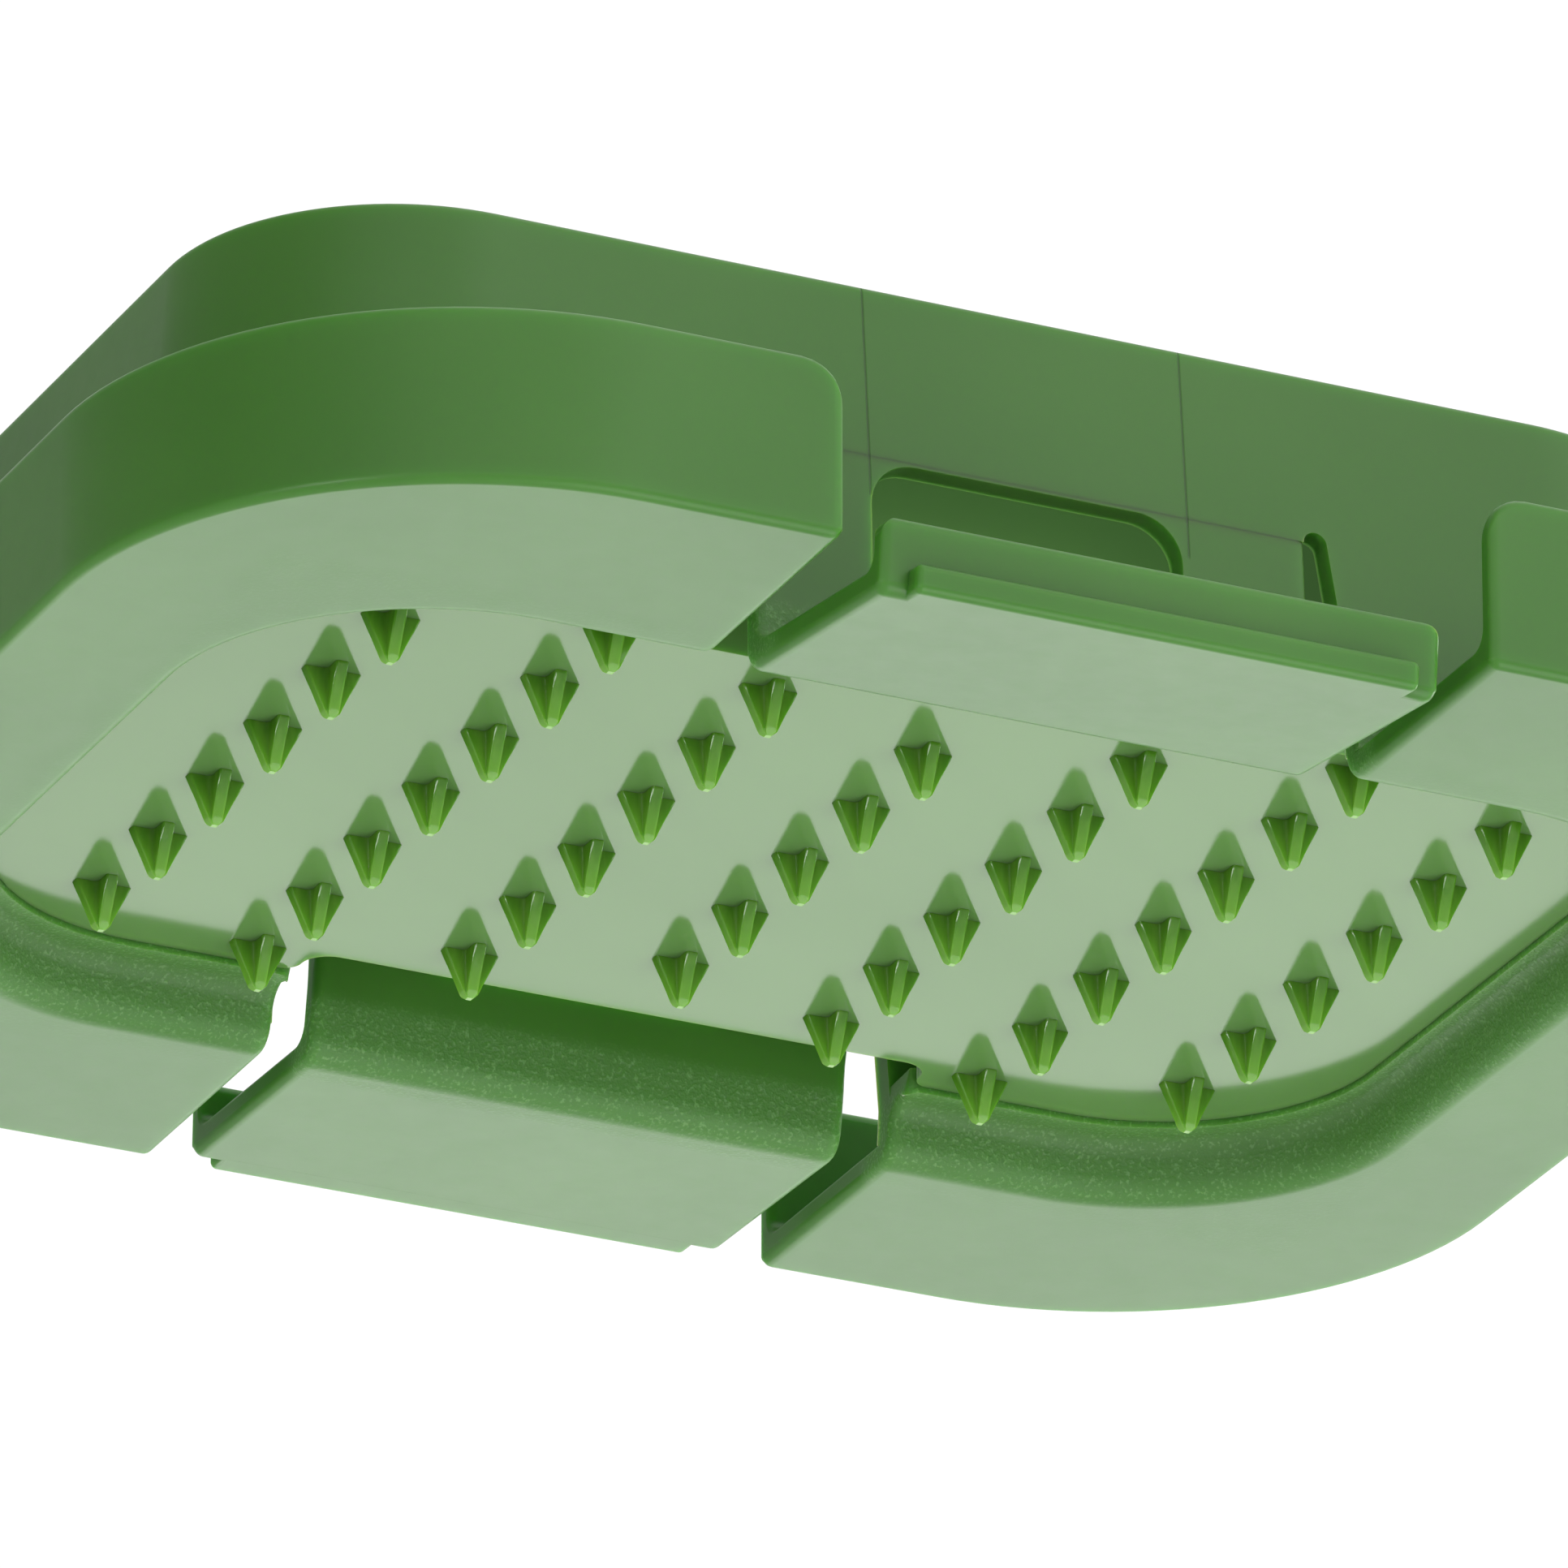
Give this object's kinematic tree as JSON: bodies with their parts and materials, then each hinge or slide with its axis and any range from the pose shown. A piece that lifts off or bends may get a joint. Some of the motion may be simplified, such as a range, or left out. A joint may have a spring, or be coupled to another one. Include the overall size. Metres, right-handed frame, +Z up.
{
  "type": "slicer hand guard",
  "caption": "Hand guard for a vegetable slicer: hollow palm block, wide brim with upturned rim, pin plate below, sprung snap clips on both long sides.",
  "frame": {"origin": "centre of the bounding box at its lowest level, on the surface the guard stands on", "axes": "+Z up through the palm block, pins point -Z; +X along the clips and the longest side; +Y across, to the clip called far"},
  "size_m": [0.1374, 0.1196, 0.0363],
  "materials": {
    "body_green": "satin, slightly translucent green polypropylene with a fine grained recess",
    "plate_green": "polished green plastic with glossy vivid pins",
    "clip_green": "satin green polypropylene"
  },
  "bodies": {
    "guard": {"guard_body": "body_green", "pin_plate": "plate_green"},
    "far_clip": {"clip_far": "clip_green"},
    "near_clip": {"clip_near": "clip_green"}
  },
  "joints": [
    {"name": "far_clip_flex", "type": "hinge", "parent": "guard", "child": "far_clip", "pos_m": [0, 0.0353, 0.02131], "axis": [1, 0, 0], "range_deg": [-11, 5], "stiffness_Nm_per_rad": 2.3},
    {"name": "near_clip_flex", "type": "hinge", "parent": "guard", "child": "near_clip", "pos_m": [0, -0.03717, 0.02131], "axis": [-1, 0, 0], "range_deg": [-3, 13], "stiffness_Nm_per_rad": 2.3}
  ]
}
